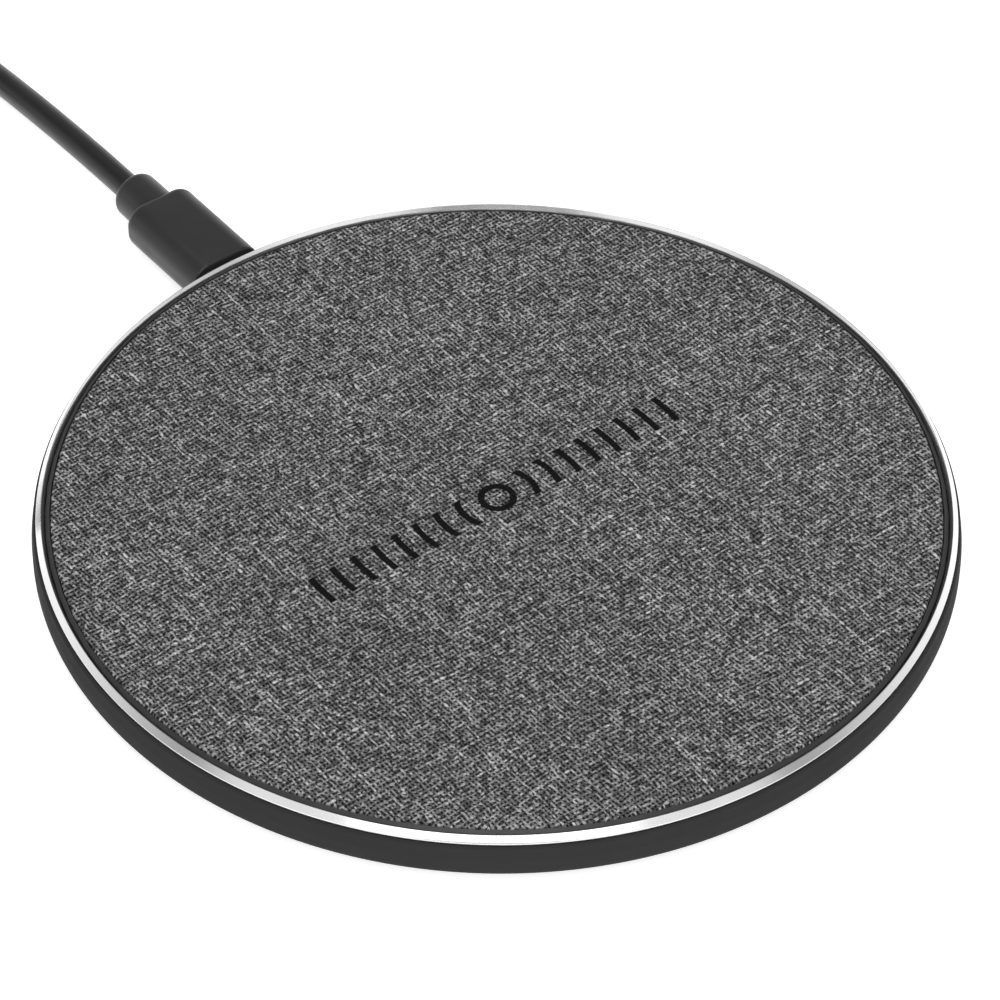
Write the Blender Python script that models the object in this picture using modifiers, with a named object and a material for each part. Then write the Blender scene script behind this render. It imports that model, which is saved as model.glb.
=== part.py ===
"""Round wireless charging pad with a fabric top and a plug-in cable, modelled piece by piece.

Frame: metres, +Z up. The origin is at the middle of the pad, on the surface that it lies on.
+Y points out of the pad's socket, along the plug and the cable. +X is to the right of the socket.
"""

import math

import bmesh
import bpy
from mathutils import Matrix, Vector

MM = 0.001

# Driving dimensions of the pad
PAD_RADIUS = 50.0 * MM            # widest place of the side wall
CREST_Z = 7.4 * MM                # top of the bright trim ring
BASE_Z = 0.6 * MM                 # flat underside; the silicone ring stands proud of it
CREST_RADIUS = 48.87 * MM         # the trim ring's ridge, with a slope on either side
CHAMFER_RADIUS = 49.46 * MM       # outer end of the outer slope
CHAMFER_DROP = 0.63 * MM
FABRIC_RADIUS = 47.85 * MM
FABRIC_TOP_Z = 7.3 * MM
PANEL_UNDERSIDE_Z = 5.3 * MM
SEAM = 0.1 * MM                   # visible seam between two pieces that touch
GAP = 0.3 * MM                    # clearance between pieces that touch out of sight

# Side wall
WALL_EDGE_RADIUS = 1.2 * MM       # rounding below the widest place
WALL_EDGE_Z = 3.4 * MM
UNDERCUT_ANGLE = 58.0             # degrees from the horizontal normal to the underside's normal
WALL_INNER_RADIUS = 47.2 * MM
WALL_SHOULDER_Z = 5.8 * MM
LEDGE_RADIUS = 43.6 * MM
COVER_SEAT_RADIUS = 45.0 * MM

# Screws
SCREW_CIRCLE_RADIUS = 39.5 * MM
SCREW_ANGLES = (12.0, 168.0, 240.0, 300.0)
SCREW_HOLE_RADIUS = 1.25 * MM
SCREW_SHANK_RADIUS = 0.95 * MM
SCREW_HEAD_RADIUS = 1.9 * MM

# Transmitter coil
COIL_TURNS = 9
COIL_INNER_RADIUS = 10.2 * MM
COIL_PITCH = 1.2 * MM
COIL_WIRE_RADIUS = 0.5 * MM
COIL_Z = 4.6 * MM
POINTS_PER_COIL_TURN = 16

# Circuit board, a crescent behind the socket
BOARD_INNER_RADIUS = 28.0 * MM
BOARD_OUTER_RADIUS = 43.2 * MM
BOARD_HALF_ANGLE = 60.0
BOARD_BOTTOM_Z = 1.8 * MM
BOARD_TOP_Z = 2.7 * MM

# Status light, on the side away from the socket's middle
LIGHT_ANGLE = 56.0

# Socket and plug, both centred on this height
PORT_Z = 4.0 * MM
SOCKET_BACK_Y = 44.2 * MM
SOCKET_FRONT_Y = 49.2 * MM
PLUG_FRONT_Y = 50.35 * MM
PLUG_SHOULDER_Y = 64.3 * MM
STRAIN_RELIEF_END_Y = 69.4 * MM
STRAIN_RELIEF_RADIUS = 2.8 * MM

# Cord and its coil
CORD_RADIUS = 1.6 * MM
CORD_X_AT_COIL = -0.2 * MM
CORD_COIL_TURN_RADIUS = 22.6 * MM           # centreline of the outermost turn
CORD_COIL_INNER_RADIUS = 7.9 * MM
CORD_COIL_HEIGHT = 6.4 * MM
CORD_COIL_OUTER_RADIUS = CORD_COIL_TURN_RADIUS + CORD_RADIUS
COIL_CENTRE = Vector((CORD_X_AT_COIL - CORD_COIL_TURN_RADIUS, 131.0 * MM, 0.0))
CORD_MEETS_COIL_Y = 117.6 * MM
TIE_THICKNESS = 0.6 * MM
TIE_WIDTH = 4.0 * MM
TIE_BOTTOM_Z = 0.05 * MM
TIE_TOP_Z = 7.7 * MM

# Plug for the charger at the cord's far end
USB_A_AXIS_X = COIL_CENTRE.x - CORD_COIL_TURN_RADIUS
USB_A_Z = 3.9 * MM
USB_A_RELIEF_START_Y = 113.2 * MM
USB_A_RELIEF_END_Y = 105.4 * MM
USB_A_BODY_END_Y = 82.0 * MM
USB_A_SHELL_END_Y = 70.0 * MM

STEPS_AROUND_PAD = 72
STEPS_AROUND_SMALL = 20


# ---------------------------------------------------------------- scene and materials

def clear_scene():
    for item in list(bpy.data.objects):
        bpy.data.objects.remove(item, do_unlink=True)


def new_collection(name):
    collection = bpy.data.collections.new(name)
    bpy.context.scene.collection.children.link(collection)
    return collection


clear_scene()
PARTS = new_collection("wireless_charging_pad")
CUTTERS = new_collection("cutters")


def material(name, colour, roughness, metallic=0.0):
    made = bpy.data.materials.new(name)
    made.use_nodes = True
    shader = made.node_tree.nodes["Principled BSDF"]
    shader.inputs["Base Color"].default_value = (*colour, 1.0)
    shader.inputs["Roughness"].default_value = roughness
    shader.inputs["Metallic"].default_value = metallic
    return made


def dark_plastic(name, level=0.04, roughness=0.5):
    return material(name, (level, level, level), roughness)


def metal(name, level=0.7, roughness=0.3):
    return material(name, (level, level, level), roughness, 1.0)


# ---------------------------------------------------------------- shapes

def add_object(name, data, finish=None, collection=None):
    made = bpy.data.objects.new(name, data)
    (collection or PARTS).objects.link(made)
    if finish is not None:
        data.materials.append(finish)
    return made


def mesh_from(bm, name, smooth_angle=35.0):
    mesh = bpy.data.meshes.new(name)
    bmesh.ops.recalc_face_normals(bm, faces=bm.faces)
    bm.to_mesh(mesh)
    bm.free()
    mesh.shade_smooth()
    mesh.set_sharp_from_angle(angle=math.radians(smooth_angle))
    return mesh


def arc(centre, radius, start, end, pieces):
    """Points of an arc in the (radius, height) plane; angles in degrees, measured from +X."""
    angles = [math.radians(start + (end - start) * i / pieces) for i in range(pieces + 1)]
    return [(centre[0] + radius * math.cos(a), centre[1] + radius * math.sin(a)) for a in angles]


def turned(name, profile, finish, steps=STEPS_AROUND_PAD, closed=False, centre=(0.0, 0.0)):
    """Turn a (radius, height) profile, which runs down the outer side, about a vertical axis."""
    bm = bmesh.new()
    corners = [bm.verts.new((radius, 0.0, height)) for radius, height in profile]
    for first, second in zip(corners, corners[1:]):
        bm.edges.new((first, second))
    if closed:
        bm.edges.new((corners[-1], corners[0]))
    mesh = bpy.data.meshes.new(name)
    bm.to_mesh(mesh)
    bm.free()
    made = add_object(name, mesh, finish)
    made.location = (centre[0], centre[1], 0.0)
    screw = made.modifiers.new("turn", "SCREW")
    screw.steps = steps
    screw.render_steps = steps
    screw.use_merge_vertices = True
    screw.merge_threshold = 0.00001
    screw.use_smooth_shade = True
    return made


def box(name, size, centre, finish=None, bevel=0.0, collection=None):
    bm = bmesh.new()
    bmesh.ops.create_cube(bm, size=1.0)
    bmesh.ops.scale(bm, vec=Vector(size), verts=bm.verts)
    made = add_object(name, mesh_from(bm, name), finish, collection)
    made.location = centre
    if bevel:
        rounding = made.modifiers.new("rounded edges", "BEVEL")
        rounding.width = bevel
        rounding.segments = 2
    return made


def cylinder(name, radius, bottom, top, centre, finish=None, collection=None, sides=STEPS_AROUND_SMALL):
    bm = bmesh.new()
    bmesh.ops.create_cone(bm, cap_ends=True, segments=sides, radius1=radius, radius2=radius,
                          depth=top - bottom)
    made = add_object(name, mesh_from(bm, name), finish, collection)
    made.location = (centre[0], centre[1], (bottom + top) / 2)
    return made


def as_cutter(item):
    item.hide_render = True
    item.display_type = "WIRE"
    return item


def cut(target, cutter, operation="DIFFERENCE"):
    step = target.modifiers.new(cutter.name, "BOOLEAN")
    step.operation = operation
    step.solver = "EXACT"
    step.object = as_cutter(cutter)


def cutter_box(name, low, high):
    size = [b - a for a, b in zip(low, high)]
    centre = [(a + b) / 2 for a, b in zip(low, high)]
    return box(name, size, centre, collection=CUTTERS)


def cutter_cylinder(name, radius, bottom, top, centre):
    return cylinder(name, radius, bottom, top, centre, collection=CUTTERS)


def rounded_rectangle(width, height, radius, arc_pieces=4):
    """Corner points of a rounded rectangle about the origin, anticlockwise."""
    points = []
    for quarter, (sx, sz) in enumerate(((1, 1), (-1, 1), (-1, -1), (1, -1))):
        centre = (sx * (width / 2 - radius), sz * (height / 2 - radius))
        points += arc(centre, radius, 90.0 * quarter, 90.0 * (quarter + 1), arc_pieces)
    return points


def loft_along_y(name, sections, finish, centre=(0.0, 0.0), collection=None):
    """Close a body through rounded rectangles given as (y, width, height, corner radius)."""
    bm = bmesh.new()
    rings = []
    for y, width, height, radius in sections:
        outline = rounded_rectangle(width, height, radius)
        rings.append([bm.verts.new((centre[0] + x, y, centre[1] + z)) for x, z in outline])
    for near, far in zip(rings, rings[1:]):
        for i in range(len(near)):
            j = (i + 1) % len(near)
            bm.faces.new((near[i], near[j], far[j], far[i]))
    bm.faces.new(rings[0])
    bm.faces.new(rings[-1])
    return add_object(name, mesh_from(bm, name), finish, collection)


def rounded_end(y, width, height, corner, fillet, direction, pieces=3):
    """Sections that round the end of a lofted body off, towards +Y or -Y."""
    sections = []
    for i in range(pieces + 1):
        angle = math.radians(90.0 * i / pieces)
        inset = fillet * (1 - math.cos(angle))
        along = y - direction * fillet * (1 - math.sin(angle))
        sections.append((along, width - 2 * inset, height - 2 * inset, corner - inset))
    return sections


def smooth_curve(points, pieces):
    """Catmull-Rom curve through the points, with the same number of pieces between each pair."""
    controls = [Vector(p) for p in points]
    controls = [2 * controls[0] - controls[1], *controls, 2 * controls[-1] - controls[-2]]
    made = []
    for a, b, c, d in zip(controls, controls[1:], controls[2:], controls[3:]):
        for i in range(pieces):
            t = i / pieces
            made.append(0.5 * (2 * b + (c - a) * t + (2 * a - 5 * b + 4 * c - d) * t ** 2
                               + (3 * b - a - 3 * c + d) * t ** 3))
    made.append(controls[-2])
    return made


def tube(name, points, radius, finish):
    curve = bpy.data.curves.new(name, "CURVE")
    curve.dimensions = "3D"
    curve.bevel_depth = radius
    curve.bevel_resolution = 2
    curve.use_fill_caps = True
    spline = curve.splines.new("POLY")
    spline.points.add(len(points) - 1)
    for point, place in zip(spline.points, points):
        point.co = (*place, 1.0)
    return add_object(name, curve, finish)


def flat_outline(name, outlines, bottom, top, finish):
    """Extrude closed outlines, the first one outside and any others as holes."""
    curve = bpy.data.curves.new(name, "CURVE")
    curve.dimensions = "2D"
    curve.fill_mode = "BOTH"
    curve.extrude = (top - bottom) / 2
    for outline in outlines:
        spline = curve.splines.new("POLY")
        spline.points.add(len(outline) - 1)
        for point, (x, y) in zip(spline.points, outline):
            point.co = (x, y, 0.0, 1.0)
        spline.use_cyclic_u = True
    made = add_object(name, curve, finish)
    made.location.z = (bottom + top) / 2
    return made


def polar(radius, degrees):
    angle = math.radians(degrees)
    return Vector((radius * math.cos(angle), radius * math.sin(angle)))


# ---------------------------------------------------------------- covers, trim and fabric

def make_fabric_top():
    edge = 0.3 * MM
    bottom = 6.8 * MM
    profile = [(0.0, FABRIC_TOP_Z)]
    profile += arc((FABRIC_RADIUS - edge, FABRIC_TOP_Z - edge), edge, 90.0, 0.0, 3)
    profile += [(FABRIC_RADIUS, bottom), (0.0, bottom)]
    turned("fabric_top", profile, material("woven fabric", (0.16, 0.16, 0.16), 0.9))


def make_fabric_adhesive():
    radius, bottom, top = 47.6 * MM, 6.5 * MM, 6.7 * MM
    profile = [(0.0, top), (radius, top), (radius, bottom), (0.0, bottom)]
    turned("fabric_adhesive", profile, material("adhesive film", (0.75, 0.74, 0.68), 0.6))


def make_top_panel():
    """Carrier of the fabric. Its raised bead is the dark ring between fabric and trim."""
    floor = 6.4 * MM
    lip_inner, lip_outer, lip_top = 47.97 * MM, 48.45 * MM, 7.27 * MM
    flange_bottom = 6.0 * MM
    plug_radius = WALL_INNER_RADIUS - GAP
    profile = [
        (0.0, floor), (lip_inner, floor), (lip_inner, lip_top - 0.08 * MM),
        (lip_inner + 0.08 * MM, lip_top), (lip_outer - 0.06 * MM, lip_top - 0.26 * MM),
        (lip_outer, lip_top - 0.36 * MM),
        (lip_outer, flange_bottom), (plug_radius, flange_bottom),
        (plug_radius, PANEL_UNDERSIDE_Z), (0.0, PANEL_UNDERSIDE_Z),
    ]
    panel = turned("top_panel", profile, dark_plastic("carrier plastic", 0.05, 0.45))
    boss_radius, boss_bottom, hole_top = 2.4 * MM, 2.65 * MM, 5.1 * MM
    for number, angle in enumerate(SCREW_ANGLES, start=1):
        place = polar(SCREW_CIRCLE_RADIUS, angle)
        boss = cutter_cylinder(f"panel boss {number}", boss_radius, boss_bottom, 5.8 * MM, place)
        cut(panel, boss, "UNION")
    for number, angle in enumerate(SCREW_ANGLES, start=1):
        place = polar(SCREW_CIRCLE_RADIUS, angle)
        hole = cutter_cylinder(f"panel hole {number}", SCREW_HOLE_RADIUS, 2.0 * MM, hole_top, place)
        cut(panel, hole)


def make_trim_ring():
    """Ridged ring: an outer slope down to the side wall, and an inner one down to the bead."""
    inner, slope_bottom = 48.55 * MM, 6.93 * MM
    half_ridge = 0.02 * MM
    foot_outer, foot_bottom, flange_bottom = 49.0 * MM, 6.0 * MM, 6.55 * MM
    profile = [
        (CREST_RADIUS - half_ridge, CREST_Z), (CREST_RADIUS + half_ridge, CREST_Z),
        (CHAMFER_RADIUS, CREST_Z - CHAMFER_DROP), (CHAMFER_RADIUS, flange_bottom),
        (foot_outer, flange_bottom), (foot_outer, foot_bottom), (inner, foot_bottom),
        (inner, slope_bottom),
    ]
    turned("trim_ring", profile, metal("polished trim", 0.85, 0.12), closed=True)


def make_housing():
    """Side wall with its rounded edge, the undercut below it and the ledge for the cover."""
    edge_centre = (PAD_RADIUS - WALL_EDGE_RADIUS, WALL_EDGE_Z)
    rounding = arc(edge_centre, WALL_EDGE_RADIUS, 0.0, -UNDERCUT_ANGLE, 4)
    foot_radius = 46.2 * MM
    lip_inner, lip_top = 49.1 * MM, 6.45 * MM
    ledge_bottom, ledge_top = 1.5 * MM, 2.3 * MM
    profile = [(CHAMFER_RADIUS + 0.03 * MM, lip_top), (PAD_RADIUS - 0.33 * MM, 6.33 * MM),
               (PAD_RADIUS - 0.2 * MM, 6.0 * MM), (PAD_RADIUS, 4.8 * MM), *rounding]
    profile += [
        (foot_radius, BASE_Z), (COVER_SEAT_RADIUS, BASE_Z),
        (COVER_SEAT_RADIUS, ledge_bottom), (LEDGE_RADIUS, ledge_bottom),
        (LEDGE_RADIUS, ledge_top), (46.0 * MM, ledge_top),
        (WALL_INNER_RADIUS, 3.2 * MM), (WALL_INNER_RADIUS, WALL_SHOULDER_Z),
        (lip_inner, WALL_SHOULDER_Z), (lip_inner, lip_top),
    ]
    housing = turned("housing", profile, dark_plastic("side wall plastic", 0.045, 0.55), closed=True)
    port = loft_along_y("port opening", [(y, 8.2 * MM, 2.8 * MM, 0.6 * MM) for y in (46.0 * MM, 52.0 * MM)],
                        None, (0.0, PORT_Z), CUTTERS)
    cut(housing, port)
    notch = cutter_box("board notch", (-6.4 * MM, 42.0 * MM, 1.55 * MM), (6.4 * MM, 47.1 * MM, 3.4 * MM))
    cut(housing, notch)
    light_hole = cutter_cylinder("light hole", 1.1 * MM, -3.0 * MM, 3.0 * MM, (0.0, 0.0))
    light_hole.matrix_world = along_radius(48.5 * MM)
    cut(housing, light_hole)


def make_bottom_cover():
    rim_top, groove_top = 1.3 * MM, 0.9 * MM
    top = 1.5 * MM
    rim, middle = COVER_SEAT_RADIUS - GAP, LEDGE_RADIUS - GAP
    groove_outer, groove_inner = 43.2 * MM, 35.8 * MM
    profile = [
        (0.0, top), (middle, top), (middle, rim_top), (rim, rim_top), (rim, BASE_Z),
        (groove_outer, BASE_Z), (groove_outer, groove_top),
        (groove_inner, groove_top), (groove_inner, BASE_Z), (0.0, BASE_Z),
    ]
    cover = turned("bottom_cover", profile, dark_plastic("cover plastic", 0.035, 0.6))
    places = [polar(SCREW_CIRCLE_RADIUS, angle) for angle in SCREW_ANGLES]
    for number, place in enumerate(places, start=1):
        cut(cover, cutter_cylinder(f"cover island {number}", 3.2 * MM, 1.2 * MM, 2.4 * MM, place), "UNION")
    for number, place in enumerate(places, start=1):
        cut(cover, cutter_cylinder(f"head recess {number}", 2.25 * MM, 0.3 * MM, 1.75 * MM, place))
        cut(cover, cutter_cylinder(f"shank hole {number}", SCREW_HOLE_RADIUS, 1.0 * MM, 3.0 * MM, place))


def make_antislip_ring():
    outer, inner, top = 42.9 * MM, 36.1 * MM, 0.65 * MM
    edge = 0.15 * MM
    profile = [(inner, top), (outer, top), (outer, edge), (outer - edge, 0.0),
               (inner + edge, 0.0), (inner, edge)]
    turned("antislip_ring", profile, dark_plastic("silicone", 0.02, 0.8), closed=True)


def make_screw(number, place):
    head_bottom, head_top, tip = 1.0 * MM, 1.55 * MM, 4.9 * MM
    bevel = 0.2 * MM
    profile = [
        (0.0, tip), (SCREW_SHANK_RADIUS * 0.5, tip - bevel), (SCREW_SHANK_RADIUS, tip - 0.6 * MM),
        (SCREW_SHANK_RADIUS, head_top), (SCREW_HEAD_RADIUS, head_top),
        (SCREW_HEAD_RADIUS, head_bottom + bevel), (SCREW_HEAD_RADIUS - bevel, head_bottom),
        (0.0, head_bottom),
    ]
    name = f"cover_screw_{number}"
    screw = turned(name, profile, metal(f"screw steel {number}", 0.55, 0.35), 16, centre=place)
    bm = bmesh.new()
    bmesh.ops.create_cone(bm, cap_ends=True, segments=6, radius1=0.85 * MM, radius2=0.85 * MM,
                          depth=0.8 * MM)
    socket = add_object(f"hex socket {number}", mesh_from(bm, name), None, CUTTERS)
    socket.location = (place[0], place[1], head_bottom)
    cut(screw, socket)


# ---------------------------------------------------------------- coil and electronics

def make_ferrite():
    radius, bottom, top = 26.0 * MM, 3.0 * MM, 3.8 * MM
    profile = [(0.0, top), (radius, top), (radius, bottom), (0.0, bottom)]
    plate = turned("ferrite_plate", profile, dark_plastic("ferrite", 0.03, 0.7), 48)
    slot = cutter_box("lead slot", (-1.2 * MM, 5.0 * MM, 2.5 * MM), (1.2 * MM, 27.0 * MM, 4.2 * MM))
    cut(plate, slot)


def make_ferrite_foam():
    radius, bottom, top = 24.0 * MM, 1.75 * MM, 2.7 * MM
    profile = [(0.0, top), (radius, top), (radius, bottom), (0.0, bottom)]
    turned("ferrite_foam", profile, dark_plastic("foam", 0.02, 0.95), 48)


def coil_path():
    """In along the ferrite's slot, up inside the coil, round its turns and out to the board."""
    lead_in = [(0.0, 29.6, 3.4), (0.0, 20.0, 3.4), (0.0, 10.5, 3.4), (0.0, 8.4, 3.7),
               (-0.5, 7.0, 4.4), (-3.0, 6.7, 4.6), (-6.2, 6.3, 4.6)]
    start, sweep = 150.0, 360.0 * COIL_TURNS - 60.0 - 12.0
    count = int(POINTS_PER_COIL_TURN * sweep / 360.0)
    turns = []
    for i in range(count + 1):
        angle = start + sweep * i / count
        radius = COIL_INNER_RADIUS + COIL_PITCH * (angle - start) / 360.0
        turns.append((*polar(radius, angle), COIL_Z))
    lead_out = [(-3.6, 23.4, 4.6), (-4.6, 25.6, 4.5), (-4.9, 27.8, 3.9), (-4.9, 29.8, 3.4)]
    entry = smooth_curve([Vector(p) * MM for p in lead_in] + [Vector(turns[0])], 3)
    leave = smooth_curve([Vector(turns[-1])] + [Vector(p) * MM for p in lead_out], 3)
    return entry[:-1] + turns + leave[1:]


def make_transmitter_coil():
    tube("transmitter_coil", coil_path(), COIL_WIRE_RADIUS, metal("enamelled litz", 0.5, 0.35))


def make_thermistor():
    cylinder("coil_thermistor", 1.3 * MM, 4.1 * MM, 5.0 * MM, (2.5 * MM, -2.0 * MM),
             material("thermistor bead", (0.5, 0.32, 0.1), 0.4), sides=12)


def make_circuit_board():
    """Crescent with a tab that reaches under the socket."""
    low, high = 90.0 - BOARD_HALF_ANGLE, 90.0 + BOARD_HALF_ANGLE
    tab_half, tab_end = 5.8 * MM, 46.6 * MM
    tab_angle = math.degrees(math.asin(tab_half / BOARD_OUTER_RADIUS))
    outline = arc((0.0, 0.0), BOARD_OUTER_RADIUS, low, 90.0 - tab_angle, 10)
    outline += [(tab_half, tab_end), (-tab_half, tab_end)]
    outline += arc((0.0, 0.0), BOARD_OUTER_RADIUS, 90.0 + tab_angle, high, 10)
    outline += arc((0.0, 0.0), BOARD_INNER_RADIUS, high, low, 16)
    flat_outline("circuit_board", [outline], BOARD_BOTTOM_Z, BOARD_TOP_Z,
                 material("solder mask", (0.01, 0.12, 0.05), 0.4))


def make_socket():
    width, height, wall = 7.5 * MM, 2.5 * MM, 0.2 * MM
    sections = [(y, width, height, 0.45 * MM) for y in (SOCKET_BACK_Y, SOCKET_FRONT_Y)]
    shell = loft_along_y("usb_socket_shell", sections, metal("socket steel", 0.6, 0.3), (0.0, PORT_Z))
    cavity = [(y, width - 2 * wall, height - 2 * wall, 0.3 * MM)
              for y in (SOCKET_BACK_Y + 0.4 * MM, SOCKET_FRONT_Y + 1.0 * MM)]
    cut(shell, loft_along_y("socket cavity", cavity, None, (0.0, PORT_Z), CUTTERS))
    box("usb_socket_tongue", (3.7 * MM, 3.4 * MM, 0.5 * MM),
        (0.0, SOCKET_BACK_Y + 0.7 * MM + 1.7 * MM, PORT_Z + 0.1 * MM),
        dark_plastic("socket insulator", 0.02, 0.4), 0.1 * MM)


def place_on_board(name, size, radius, angle, finish, bevel=0.1 * MM):
    place = polar(radius, angle)
    rest = BOARD_TOP_Z + 0.1 * MM
    part = box(name, size, (place[0], place[1], rest + size[2] / 2), finish, bevel)
    part.rotation_euler.z = math.radians(angle - 90.0)
    return part


def make_board_components():
    package = dark_plastic("chip package", 0.02, 0.45)
    ceramic = material("capacitor ceramic", (0.42, 0.3, 0.2), 0.5)
    place_on_board("controller_chip", (6.0 * MM, 6.0 * MM, 0.9 * MM), 36.2 * MM, 90.0, package)
    for number, angle in enumerate((108.0, 116.5), start=1):
        place_on_board(f"bridge_mosfet_{number}", (3.3 * MM, 3.3 * MM, 1.0 * MM), 38.6 * MM, angle,
                       package.copy())
        place_on_board(f"bridge_mosfet_{number + 2}", (3.3 * MM, 3.3 * MM, 1.0 * MM), 33.0 * MM,
                       angle, package.copy())
    for number, radius in enumerate((31.0, 34.0, 37.0, 40.0), start=1):
        place_on_board(f"resonant_capacitor_{number}", (3.2 * MM, 1.6 * MM, 1.6 * MM), radius * MM,
                       130.0, ceramic.copy())
    place_on_board("power_inductor", (5.0 * MM, 5.0 * MM, 2.2 * MM), 36.0 * MM, 68.0,
                   dark_plastic("inductor core", 0.05, 0.6), 0.4 * MM)
    for number, angle in enumerate((76.5, 79.5), start=1):
        place_on_board(f"input_capacitor_{number}", (1.2 * MM, 2.0 * MM, 1.2 * MM), 41.3 * MM, angle,
                       ceramic.copy())


def along_radius(distance):
    """A frame whose Z points out through the side wall at the status light."""
    place = polar(distance, LIGHT_ANGLE)
    turn = Matrix.Rotation(math.radians(LIGHT_ANGLE), 4, "Z") @ Matrix.Rotation(math.radians(90.0), 4, "Y")
    return Matrix.Translation((place[0], place[1], PORT_Z)) @ turn


def make_status_light():
    place_on_board("status_led", (1.6 * MM, 0.9 * MM, 0.8 * MM), 42.2 * MM, LIGHT_ANGLE,
                   material("led lens", (0.85, 0.85, 0.8), 0.3))
    bm = bmesh.new()
    length = 5.4 * MM
    bmesh.ops.create_cone(bm, cap_ends=True, segments=16, radius1=0.8 * MM, radius2=0.8 * MM, depth=length)
    pipe = add_object("light_pipe", mesh_from(bm, "light_pipe"),
                      material("clear plastic", (0.8, 0.8, 0.8), 0.1))
    pipe.matrix_world = along_radius(49.7 * MM - length / 2)


# ---------------------------------------------------------------- plug, cord and far end

def make_plug():
    width, height, corner = 9.0 * MM, 5.8 * MM, 2.45 * MM
    sections = rounded_end(PLUG_FRONT_Y, width, height, corner, 0.25 * MM, -1, 2)[::-1]
    sections += rounded_end(PLUG_SHOULDER_Y, width, height, corner, 1.0 * MM, 1, 4)
    body = loft_along_y("plug_overmould", sections, dark_plastic("plug sleeve", 0.05, 0.45), (0.0, PORT_Z))
    pocket_end = PLUG_FRONT_Y + 6.0 * MM
    pocket = [(y, 7.9 * MM, 4.0 * MM, 1.4 * MM) for y in (PLUG_FRONT_Y - 1.0 * MM, pocket_end)]
    cut(body, loft_along_y("mould pocket", pocket, None, (0.0, PORT_Z), CUTTERS))

    core = [(y, 7.7 * MM, 3.8 * MM, 1.3 * MM) for y in (PLUG_FRONT_Y + 0.1 * MM, pocket_end - GAP)]
    inner = loft_along_y("plug_inner_mould", core, dark_plastic("inner mould", 0.01, 0.5), (0.0, PORT_Z))
    shell_back = PLUG_FRONT_Y + 3.0 * MM
    seat = [(y, 7.05 * MM, 2.0 * MM, 0.5 * MM) for y in (PLUG_FRONT_Y - 1.0 * MM, shell_back + 0.1 * MM)]
    cut(inner, loft_along_y("shell seat", seat, None, (0.0, PORT_Z), CUTTERS))

    tip = SOCKET_BACK_Y + 0.8 * MM
    sleeve = [(y, 6.85 * MM, 1.8 * MM, 0.4 * MM) for y in (tip, shell_back)]
    shell = loft_along_y("plug_shell", sleeve, metal("plug steel", 0.7, 0.25), (0.0, PORT_Z))
    mouth = [(y, 6.35 * MM, 1.3 * MM, 0.2 * MM) for y in (tip - 1.0 * MM, tip + 4.3 * MM)]
    cut(shell, loft_along_y("shell mouth", mouth, None, (0.0, PORT_Z), CUTTERS))

    relief = 2 * STRAIN_RELIEF_RADIUS
    ends = [(PLUG_SHOULDER_Y + SEAM, relief, relief, STRAIN_RELIEF_RADIUS * 0.98)]
    ends += rounded_end(STRAIN_RELIEF_END_Y, relief, relief, STRAIN_RELIEF_RADIUS * 0.98, 1.1 * MM, 1)
    loft_along_y("plug_strain_relief", ends, dark_plastic("strain relief", 0.05, 0.5), (0.0, PORT_Z))


def make_cord():
    """Straight out of the strain relief, down to the surface and on to the coil's side."""
    route = [(0.0, 69.7, 4.0), (0.0, 74.0, 3.98), (0.0, 80.0, 3.86), (-0.05, 87.0, 3.6), (-0.1, 95.0, 3.1),
             (-0.15, 103.0, 2.4), (-0.2, 110.0, 1.85), (-0.2, 117.6, 1.62)]
    points = smooth_curve([Vector(p) * MM for p in route], 2)
    tube("cord", points, CORD_RADIUS, dark_plastic("cord jacket", 0.05, 0.5))
    upper_turn_z = 4.4 * MM
    end = [(USB_A_AXIS_X, CORD_MEETS_COIL_Y, upper_turn_z),
           (USB_A_AXIS_X, (CORD_MEETS_COIL_Y + USB_A_RELIEF_START_Y) / 2, 4.15 * MM),
           (USB_A_AXIS_X, USB_A_RELIEF_START_Y + GAP, USB_A_Z)]
    tube("cord_far_end", [Vector(p) for p in end], CORD_RADIUS, dark_plastic("cord jacket end", 0.05, 0.5))


def make_cord_coil():
    """Outer shape of the wound turns, with room for the tie below them and inside them."""
    edge = 1.4 * MM
    inner, outer, top = CORD_COIL_INNER_RADIUS, CORD_COIL_OUTER_RADIUS, CORD_COIL_HEIGHT
    profile = arc((inner + edge, top - edge), edge, 180.0, 90.0, 3)
    profile += arc((outer - edge, top - edge), edge, 90.0, 0.0, 3)
    profile += arc((outer - edge, edge), edge, 0.0, -90.0, 3)
    profile += arc((inner + edge, edge), edge, -90.0, -180.0, 3)
    coil = turned("cord_coil", profile, dark_plastic("coiled jacket", 0.05, 0.5), 48, closed=True,
                  centre=COIL_CENTRE)
    waist_top = TIE_BOTTOM_Z + TIE_THICKNESS + GAP
    half = TIE_WIDTH / 2 + GAP
    left, right = COIL_CENTRE.x - half, COIL_CENTRE.x + half
    near, far = COIL_CENTRE.y + inner, COIL_CENTRE.y + outer
    past = 2 * MM
    cut(coil, cutter_box("waist below", (left, near - past, -past), (right, far + past, waist_top)))
    cut(coil, cutter_box("waist inside", (left, near - past, -past), (right, near + GAP, top + past)))


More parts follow.
